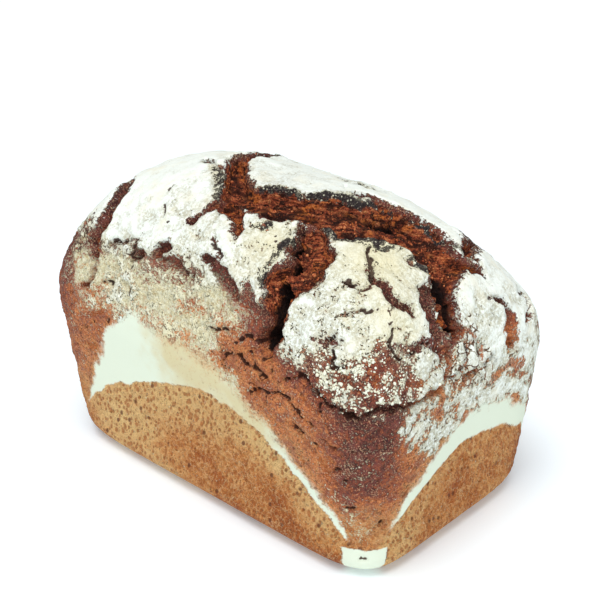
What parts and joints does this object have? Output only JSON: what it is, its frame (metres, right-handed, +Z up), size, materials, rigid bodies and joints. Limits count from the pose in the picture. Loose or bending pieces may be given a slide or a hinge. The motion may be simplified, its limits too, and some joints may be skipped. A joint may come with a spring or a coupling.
{
  "type": "rye bread loaf",
  "caption": "Whole tin-baked rye loaf with tapered walls and a high domed crown, its floured crust torn open along the top and cracked down the sides; food that stands on its flat base.",
  "frame": {"origin": "on the resting surface, under the middle of the loaf's bounding box", "axes": "+X along the loaf's length, +Y across it towards its back side, +Z up"},
  "size_m": [0.201, 0.1264, 0.1428],
  "materials": {
    "crust": "dry baked crust, red-brown and rough, tan and porous where the tin touched it, dusted with white flour on the crown"
  },
  "bodies": {
    "root": {"loaf": "crust"}
  },
  "joints": []
}
